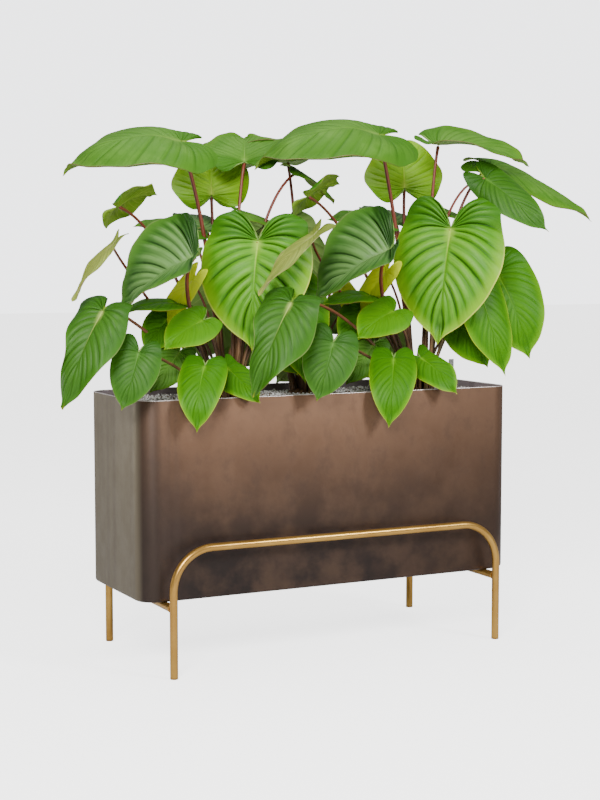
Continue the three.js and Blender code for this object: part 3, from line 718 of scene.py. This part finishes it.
def makeStalk(name, plant, leaf, order):
    start, upright, via, end = stalkCurve(leaf, order)
    thin = stalk["thinnest"] + stalk["perWidth"] * leaf["width"]

    def place(x, y):
        share = np.clip((y - 0.02) / 0.96, 0, 1)[:, None]
        rest = 1 - share
        middle = (start * rest ** 3 + 3 * upright * rest ** 2 * share
                  + 3 * via * rest * share ** 2 + end * share ** 3)
        along = ((upright - start) * rest ** 2 + 2 * (via - upright) * rest * share
                 + (end - via) * share ** 2)
        along /= np.linalg.norm(along, axis=1)[:, None]
        across = np.cross(along, askew)
        across /= np.linalg.norm(across, axis=1)[:, None]
        beside = np.cross(along, across)
        share = share[:, 0]
        radius = thin * (stalk["taper"] + (1 - stalk["taper"]) * share)
        radius = radius * (1 + stalk["sheath"] * (1 - smooth(0.02, 0.3, share)))
        radius = radius * (1 + stalk["flare"] * smooth(0.95, 1, share))
        radius = np.where((y < 0.01) | (y > 0.99), 0, radius)
        turn = math.pi * x
        # a shallow channel runs along the upper side of a stalk
        dent = 1 - stalk["channel"] * np.exp(-((np.abs(x) - 0.5) / 0.16) ** 2)
        ring = across * np.cos(turn)[:, None] + beside * np.sin(turn)[:, None]
        return inPlant(plant, middle + ring * (radius * dent)[:, None])

    piece = shapedGrid(name, stalk["sides"], stalk["rows"], place)
    mergeDoubles(piece)
    return piece


stalkFinish = stalkMaterial()

# Foot of a clump: a low fibrous mound and papery pointed sheaths that wrap the stalks
clump = {
    "radius": 0.042, "rise": 0.012, "knots": 0.0045, "rimDrop": 0.006, "sheaths": 22,
    "ring": (0.006, 0.03), "heights": (0.035, 0.12), "widths": (0.011, 0.02), "curve": 0.0062,
    "lean": (0.02, 0.3), "twist": 0.4, "sink": 0.004, "thickness": 0.0008,
}


def sheathMaterial():
    made, tree = startMaterial("sheath_papery", Specular_IOR_Level=0.35)
    cloud = cloudsOf(tree, 45.0, 500.0)[0]
    fibres = noise(mapPlace(tree, "UVMap"), (26, 2.5, 1), 4.0, 0.6)
    colour = layered((0.035, 0.014, 0.005), ((0.2, 0.1, 0.04), ramp(fibres, 0.35, 0.68)),
                     ((0.12, 0.13, 0.02), ramp(cloud, 0.5, 0.7), 0.45))
    return paint(made, colour, plus(0.45, fibres, 0.3), fibres, 0.6, 0.001)


def makeMound(plant, chance):
    waves = [(chance.randint(3, 17), chance.uniform(60, 260), chance.uniform(0, 6.28)) for _ in range(9)]

    def place(x, y):
        turn, out = math.pi * x, 1 - y
        inwards = out * clump["radius"]
        knots = sum(np.sin(count * turn + shift + scale * inwards) for count, scale, shift in waves)
        radius = inwards * (1 + 0.02 * knots * out)
        high = clump["rise"] * (1 - out ** 2) - clump["rimDrop"] * smooth(0.8, 1, out)
        high = high + clump["knots"] * knots / 3 * out * (1 - out ** 4)
        return inPlant(plant, np.stack([radius * np.cos(turn), radius * np.sin(turn), high], axis=1))

    mound = shapedGrid("mound", 72, 16, place)
    mergeDoubles(mound)
    return mound


def makeSheath(plant, chance):
    low, high = clump["ring"]
    around, out = chance.uniform(0, fullTurn), chance.uniform(low, high)
    tall, wide = chance.uniform(*clump["heights"]), chance.uniform(*clump["widths"])
    lean, twist = chance.uniform(*clump["lean"]), chance.uniform(-clump["twist"], clump["twist"])
    curve = clump["curve"]

    def place(x, y):
        half = wide / 2 * (1 - y ** 2.4) ** 0.8 + 0.0001
        turn = x * half / curve
        facing = around + twist
        away = out + lean * tall * y ** 1.3
        radial = away + (np.cos(turn) - 1) * curve
        side = np.sin(turn) * curve
        return inPlant(plant, np.stack([
            radial * math.cos(facing) - side * math.sin(facing) + out * (math.cos(around) - math.cos(facing)),
            radial * math.sin(facing) + side * math.cos(facing) + out * (math.sin(around) - math.sin(facing)),
            tall * y - clump["sink"],
        ], axis=1))

    sheath = shapedGrid("sheath", 8, 14, place)
    thicken(sheath, thickness=clump["thickness"], offset=0)
    return sheath


sheathFinish = sheathMaterial()


def makeClump(plantName, plant, seed):
    chance = random.Random(seed)
    parts = [makeMound(plant, chance)] + [makeSheath(plant, chance) for _ in range(clump["sheaths"])]
    foot = joinAll(parts, plantName + "_clump", 50)
    settle(foot, [sheathFinish], "stalk", plantName + "_plant_stalks")


def makePlant(plantName, plant):
    names = [name for name in leaves if name not in plant["without"]]
    node = plantName + "_plant_stalks"
    stalks, small = [], []
    for order, name in enumerate(names):
        leaf = sizedLeaf(name, plant)
        stalks.append(makeStalk("stalk", plant, leaf, order))
        if name in fusedLeaves:
            small.append(makeBlade("small", plant, leaf, order, "small"))
        else:
            grid = "large" if leaf["width"] > 0.13 and plantName != "middle" else "medium"
            piece = makeBlade(plantName + "_blade_" + name, plant, leaf, order, grid)
            settle(piece, [], "leaf", plantName + "_leaf_" + name)
    settle(joinAll(stalks, plantName + "_stalks", 50), [stalkFinish], "stalk", node)
    settle(joinAll(small, plantName + "_small_leaves"), [], "leaf", node)
    print(plantName + " plant made")


for seed, (plantName, plant) in enumerate(plants.items()):
    makePlant(plantName, plant)
    makeClump(plantName, plant, seed + 20)


# Selects the parts of a mesh whose middle or direction passes a test. Works in edit mode.
def selectParts(piece, kind, test):
    bpy.ops.mesh.select_mode(type=kind)
    bpy.ops.mesh.select_all(action="DESELECT")
    bpy.ops.object.mode_set(mode="OBJECT")
    mesh = piece.data
    if kind == "FACE":
        for face in mesh.polygons:
            face.select = test(face.center, face.normal)
    else:
        for edge in mesh.edges:
            first, second = (mesh.vertices[index].co for index in edge.vertices)
            edge.select = test((first + second) / 2, (second - first).normalized())
    bpy.ops.object.mode_set(mode="EDIT")


def bevelEdges(piece, offset, segments, test=lambda place, way: True):
    selectParts(piece, "EDGE", test)
    bpy.ops.mesh.bevel(offset=offset, segments=segments, affect="EDGES")


def push(way):
    bpy.ops.mesh.extrude_region_move(TRANSFORM_OT_translate={"value": way})


def makeBlock(name, place, size):
    return startPrimitive(name, bpy.ops.mesh.primitive_cube_add, size=1, location=place, scale=size)


def makeRod(name, place, radius, length, vertices=32, turn=(0, 0, 0)):
    return startPrimitive(name, bpy.ops.mesh.primitive_cylinder_add, vertices=vertices, radius=radius,
                          depth=length, location=place, rotation=turn)


# The planter: a folded metal shell with round corners, bronze lacquer outside and grey inside
planter = {
    "length": 0.86, "width": 0.3, "bottom": 0.147, "top": 0.547, "corner": 0.042, "wall": 0.004,
    "floor": 0.005, "lowerEdge": 0.007, "rimEdge": 0.0012,
    "padStarts": (-0.318, 0.1), "padSize": (0.19, 0.25, 0.003), "padEdge": 0.001,
}


def planterMaterial():
    made, tree = startMaterial("planter_bronze", Metallic=0.6)
    place = objectPlace(tree)
    cloud, grain = cloudsOf(tree, 11.0, 900.0)
    across = calc("SUBTRACT", axis(place, "X"), middleX)
    level = ramp(axis(place, "Z"), planter["bottom"], planter["top"])
    blotches = noise(place, (22, 22, 16), 6.0, 0.62)
    bands = noise(place, (34, 34, 0.8), 2.0)
    near = ramp(across, -0.3, -0.37)
    colour = layered(
        (0.017, 0.011, 0.01),
        # lighter towards the top, darker towards the bottom
        ((0.185, 0.099, 0.056), calc("POWER", level, 1.6)),
        ((0.22, 0.125, 0.074), ramp(cloud, 0.36, 0.66, 0.0, 0.22)),
        ((0.045, 0.027, 0.02), ramp(blotches, 0.46, 0.7, 0.0, 0.34)),
        # darker towards the right end
        ((0.05, 0.024, 0.012), ramp(across, -0.05, 0.42, 0.0, 0.46)),
        # painted shade darkens the left corner, a painted reflection greys the end beside it, and soft
        # upright bands of painted reflection run round both
        ((0.035, 0.022, 0.018), near, ramp(level, 1.0, 0.2, 0.1, 0.6)),
        ((0.03, 0.02, 0.016), ramp(across, -0.38, -0.4), 0.6),
        ((0.15, 0.125, 0.085), ramp(across, -0.42, -0.429), 0.85),
        ((0.06, 0.042, 0.034), ramp(bands, 0.42, 0.72), near, 0.32))
    rough = plus(ramp(blotches, 0.3, 0.7, 0.36, 0.5), grain, 0.06)
    return paint(made, colour, rough, plus(grain, blotches), 0.25, 0.0005)


def makePlanter():
    top, bottom = planter["top"], planter["bottom"]
    size = (planter["length"], planter["width"], top - bottom)
    shell = makeBlock("planter_body", (middleX, middleY, (top + bottom) / 2), size)

    def work():
        bevelEdges(shell, planter["corner"], 20, lambda place, way: abs(way.z) > 0.9)
        bevelEdges(shell, planter["lowerEdge"], 6, lambda place, way: abs(place.z - bottom) < 1e-5)
        selectParts(shell, "FACE", lambda place, normal: normal.z > 0.9)
        bpy.ops.mesh.inset(thickness=planter["wall"])
        push((0, 0, bottom + planter["floor"] - top))
        bevelEdges(shell, planter["rimEdge"], 3, lambda place, way: abs(place.z - top) < 1e-5)

    inEditMode(shell, work)
    for face in shell.data.polygons:
        towards = (middleX - face.center.x) * face.normal.x + (middleY - face.center.y) * face.normal.y
        if face.center.z > top - planter["rimEdge"] * 1.02:
            face.material_index = 2
        elif towards > 1e-4 or (face.normal.z > 0.9 and face.center.z < top - 0.01):
            face.material_index = 1
    smoothShade(shell, 35)
    inside = cloudedMaterial("planter_inside", (0.2, 0.16, 0.17), (0.28, 0.23, 0.25), 0.45, 0.4, 12, 500,
                             3e-4)
    # a pale painted highlight runs along the top of the rim
    rim = cloudedMaterial("planter_rim_highlight", (0.72, 0.66, 0.66), (0.6, 0.5, 0.47), 0.3, 0.6, 30, 700, 1e-4)
    settle(shell, [planterMaterial(), inside, rim], "planter", "planter_shell")
    pads = []
    length, width, height = planter["padSize"]
    for start in planter["padStarts"]:
        place = (middleX + start + length / 2, middleY, bottom - height / 2)
        pad = makeBlock("pad", place, (length, width, height))
        inEditMode(pad, lambda: bevelEdges(pad, planter["padEdge"], 3))
        pads.append(pad)
    rubber = cloudedMaterial("pad_rubber", (0.03, 0.024, 0.022), (0.05, 0.04, 0.036), 0.6, 0.0, 40, 600, 4e-4)
    settle(joinAll(pads, "planter_pads", 40), [rubber], "planter", "planter_shell")
    print("planter made")


makePlanter()

# The stand: round tube, satin gold
stand = {
    "legSpacing": 0.752, "archSpacing": 0.362, "tube": 0.016, "bar": 0.2555, "bend": 0.084,
    "foot": 0.0012, "gap": 0.0003, "weld": 0.0011,
}


def makeArch(name, side):
    radius, bend = stand["tube"] / 2, stand["bend"]
    left, right = middleX - stand["legSpacing"] / 2, middleX + stand["legSpacing"] / 2
    y = middleY + side * stand["archSpacing"] / 2
    straight = stand["bar"] - bend
    arch = startPrimitive(name, bpy.ops.mesh.primitive_circle_add, vertices=32, radius=radius,
                          fill_type="NGON", location=(left, y, 0))
    turns = ((left + bend, (right - left - 2 * bend, 0, 0)), (right - bend, (0, 0, -straight)))

    def work():
        bpy.ops.mesh.select_mode(type="FACE")
        bpy.ops.mesh.select_all(action="SELECT")
        push((0, 0, straight))
        for x, way in turns:
            bpy.ops.mesh.spin(steps=18, angle=-math.pi / 2, center=(x, y, straight), axis=(0, 1, 0))
            push(way)
        bpy.ops.mesh.select_all(action="SELECT")
        bpy.ops.mesh.remove_doubles(threshold=1e-6)
        bpy.ops.mesh.normals_make_consistent(inside=False)
        bevelEdges(arch, stand["foot"], 3, lambda place, way: place.z < 1e-6)

    inEditMode(arch, work)
    smoothShade(arch, 40)
    return arch


def goldMaterial():
    made, tree = startMaterial("stand_gold", Metallic=0.85)
    cloud, grain = cloudsOf(tree, 14.0, 1400.0)
    # the lowest few millimetres of the legs are darker
    foot = ramp(axis(objectPlace(tree), "Z"), 0.006, 0.001, 0.0, 0.6)
    colour = layered(
        (0.44, 0.24, 0.055), ((0.54, 0.32, 0.08), ramp(cloud, 0.36, 0.66)),
        ((0.16, 0.09, 0.03), foot))
    return paint(made, colour, plus(0.26, grain, 0.06), grain, 0.06, 0.0001)


def makeStand():
    gold = goldMaterial()
    for name, side in (("front", -1), ("back", 1)):
        settle(makeArch("arch_" + name, side), [gold], "stand", "stand_arch_" + name)
    radius, lying = stand["tube"] / 2, (math.pi / 2, 0, 0)
    reach = stand["archSpacing"] / 2 - radius + stand["weld"]
    z = planter["bottom"] - stand["gap"] - radius
    for name, side in (("left", -1), ("right", 1)):
        x = middleX + side * stand["legSpacing"] / 2
        parts = [makeRod("bar", (x, middleY, z), radius, 2 * reach, turn=lying)]
        for end in (-1, 1):
            parts.append(startPrimitive(
                "weld", bpy.ops.mesh.primitive_torus_add, major_segments=32, minor_segments=8,
                major_radius=radius, minor_radius=stand["weld"], rotation=lying,
                location=(x, middleY + end * (reach - stand["weld"]), z)))
        settle(joinAll(parts, "crossbar_" + name, 40), [gold], "stand", "stand_crossbar_" + name)
    print("stand made")


makeStand()

# The water gauge: a round foot in the granules with a flat stick that carries plain marks
gauge = {
    "x": 0.392, "y": 0.03, "base": 0.532, "stick": (0.012, 0.003), "stickEdge": 0.0004, "rise": 0.062,
    "tube": 0.009, "cap": 0.014, "capHeight": 0.005, "depth": 0.09, "collar": 0.003, "collarHeight": 0.004,
    "collarShare": 0.65, "edge": 0.0006, "markSize": 0.0022,
    "marks": {0.576: (0.75, 0.6, 0.16), 0.56: (0.75, 0.6, 0.16), 0.5445: (0.42, 0.02, 0.01)},
}


def gaugeMaterial():
    made, tree = startMaterial("gauge_plastic", Coat_Weight=0.3)
    place = objectPlace(tree)
    cloud, grain = cloudsOf(tree, 60.0, 900.0)
    colour = layered((0.84, 0.84, 0.86), ((0.92, 0.92, 0.93), ramp(cloud, 0.4, 0.65)))
    size = gauge["markSize"]
    for level, tint in gauge["marks"].items():
        centre = (-(middleX + gauge["x"]), -(middleY + gauge["y"] - gauge["stick"][1] / 2), -level)
        offset = addNode(tree, "ShaderNodeMapping", {"Vector": place, "Location": centre})
        away = addNode(tree, "ShaderNodeVectorMath", {0: offset.outputs["Vector"]}, operation="LENGTH")
        colour = layered(colour, (tint, ramp(away.outputs["Value"], size * 1.1, size * 0.8)))
    return paint(made, colour, plus(0.3, grain, 0.1), grain, 0.2, 0.0001)


def makeGauge():
    x, y, base = middleX + gauge["x"], middleY + gauge["y"], gauge["base"]
    high, depth = gauge["capHeight"], gauge["depth"]
    stick = makeBlock("stick", (x, y, base + 0.002 + gauge["rise"] / 2), (*gauge["stick"], gauge["rise"]))
    foot = makeRod("foot", (x, y, base + high / 2), gauge["cap"], high, 40)
    tube = makeRod("tube", (x, y, base - depth / 2), gauge["tube"], depth)

    def shapeFoot():
        selectParts(foot, "FACE", lambda place, normal: normal.z > 0.9)
        bpy.ops.mesh.inset(thickness=gauge["collar"])
        push((0, 0, gauge["collarHeight"]))
        bpy.ops.transform.resize(value=(gauge["collarShare"], gauge["collarShare"], 1))
        bevelEdges(foot, gauge["edge"], 2, lambda place, way: abs(way.z) < 0.01 and place.z > base + 0.001)

    inEditMode(stick, lambda: bevelEdges(stick, gauge["stickEdge"], 3))
    inEditMode(foot, shapeFoot)
    settle(joinAll([foot, tube, stick], "gauge", 35), [gaugeMaterial()], "gauge", "water_gauge")
    print("gauge made")


makeGauge()

# Pumice grains lie close together on the granules. Each is a squeezed ball of twenty faces.
grains = {
    "count": 8800, "sizes": (0.0015, 0.0032), "inset": 0.007, "crown": 0.037, "lift": 0.0035, "seed": 7,
    "shares": {"pale": 6, "grey": 3, "brown": 2},
    "colours": {
        "pale": ((0.74, 0.72, 0.7), (0.93, 0.92, 0.9)),
        "grey": ((0.24, 0.225, 0.215), (0.5, 0.48, 0.46)),
        "brown": ((0.1, 0.065, 0.045), (0.32, 0.23, 0.16)),
    },
}


def makeGrains():
    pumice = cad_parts["growing_granules"]
    under = cloudedMaterial("granules_under", (0.24, 0.215, 0.2), (0.66, 0.63, 0.6), 0.85, 0.0, 260, 700,
                            2e-3)
    for slot in pumice.material_slots:
        slot.material = under
    ball = startPrimitive("ball", bpy.ops.mesh.primitive_ico_sphere_add, subdivisions=1, radius=1)
    corners = np.array([vertex.co for vertex in ball.data.vertices])
    faces = np.array([face.vertices for face in ball.data.polygons])
    bpy.data.objects.remove(ball)
    chance = random.Random(grains["seed"])
    reachX = planter["length"] / 2 - grains["inset"]
    reachY = planter["width"] / 2 - grains["inset"]
    corner = planter["corner"] - grains["inset"]
    heaps = {tone: [] for tone in grains["shares"]}
    while sum(len(heap) for heap in heaps.values()) < grains["count"]:
        x, y = chance.uniform(-reachX, reachX), chance.uniform(-reachY, reachY)
        tone = chance.choices(list(heaps), grains["shares"].values())[0]
        size = chance.uniform(*grains["sizes"])
        squeeze = np.array([chance.uniform(0.6, 1.25) for _ in range(3)]) * size
        turn = np.array([chance.gauss(0, 1) for _ in range(9)]).reshape(3, 3)
        turn = np.linalg.qr(turn)[0]
        jag = np.array([chance.uniform(0.75, 1.2) for _ in range(len(corners))])[:, None]
        if math.hypot(max(abs(x) - reachX + corner, 0), max(abs(y) - reachY + corner, 0)) > corner:
            continue
        if any(math.hypot(x - plant["x"], y - plant["y"]) < grains["crown"] for plant in plants.values()):
            continue
        place = np.array((middleX + x, middleY + y, soilTop + chance.uniform(0.0, grains["lift"])))
        heaps[tone].append((corners * jag * squeeze) @ turn + place)
    for tone, heap in heaps.items():
        mesh = bpy.data.meshes.new("grains_" + tone)
        offsets = (np.arange(len(heap)) * len(corners))[:, None, None]
        allFaces = (faces[None] + offsets).reshape(-1, 3)
        mesh.from_pydata(np.concatenate(heap).tolist(), [], allFaces.tolist())
        piece = bpy.data.objects.new("grains_" + tone, mesh)
        bpy.context.collection.objects.link(piece)
        onWhole(piece, bpy.ops.mesh.normals_make_consistent, inside=False)
        first, second = grains["colours"][tone]
        mesh.materials.append(cloudedMaterial("pumice_" + tone, first, second, 0.8, 0.0, 300, 900, 8e-4))
        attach(piece, "root")
    print("grains made")


makeGrains()

# Light, floor and camera
bpy.ops.mesh.primitive_plane_add(size=40, location=(0, 0, 0))
floor = bpy.context.object
floor.name = "floor"
floorFinish, floorTree = startMaterial(
    "floor", Base_Color=(0.8, 0.8, 0.8), Roughness=0.8, Emission_Color=(1, 1, 1))
onlySeen = addNode(floorTree, "ShaderNodeLightPath").outputs["Is Camera Ray"]
feed(floorTree.nodes["Principled BSDF"].inputs["Emission Strength"], times(onlySeen, 2.6))
floor.data.materials.append(floorFinish)

# place, size, power and colour
lights = {
    "key": ((-2.1, -3.0, 2.5), 1.4, 200, (1, 0.985, 0.95)),
    "fill": ((1.7, -2.9, 2.4), 0.9, 95, (0.98, 0.99, 1)),
    "top": ((-0.2, 0.2, 3.1), 1.6, 30, (1, 1, 1)),
    "left": ((-2.3, 2.3, 0.75), 1.1, 16, (1, 0.98, 0.9)),
}
for name, (place, size, power, colour) in lights.items():
    bpy.ops.object.light_add(type="AREA", location=place)
    lamp = bpy.context.object
    lamp.name = "light_" + name
    lamp.data.size, lamp.data.energy, lamp.data.color = size, power, colour
    aim = Vector((middleX, middleY, 0.6)) - lamp.location
    lamp.rotation_euler = aim.to_track_quat("-Z", "Y").to_euler()

world = bpy.data.worlds.new("studio")
world.use_nodes = True
sky = world.node_tree
seen = addNode(sky, "ShaderNodeLightPath").outputs["Is Camera Ray"]
feed(sky.nodes["Background"].inputs["Color"], (0.97, 0.98, 1))
feed(sky.nodes["Background"].inputs["Strength"], ramp(seen, 0.0, 1.0, 0.34, 3.4))
bpy.context.scene.world = world

view = {"place": (middleX - 1.5803, middleY - 3.0897, 0.8265),
        "pitch": 84.97, "turn": -26.99, "lens": 73.33}
bpy.ops.object.camera_add(location=view["place"])
camera = bpy.context.object
camera.rotation_euler = (math.radians(view["pitch"]), 0, math.radians(view["turn"]))
camera.data.lens = view["lens"]
bpy.context.scene.camera = camera

print("scene made")
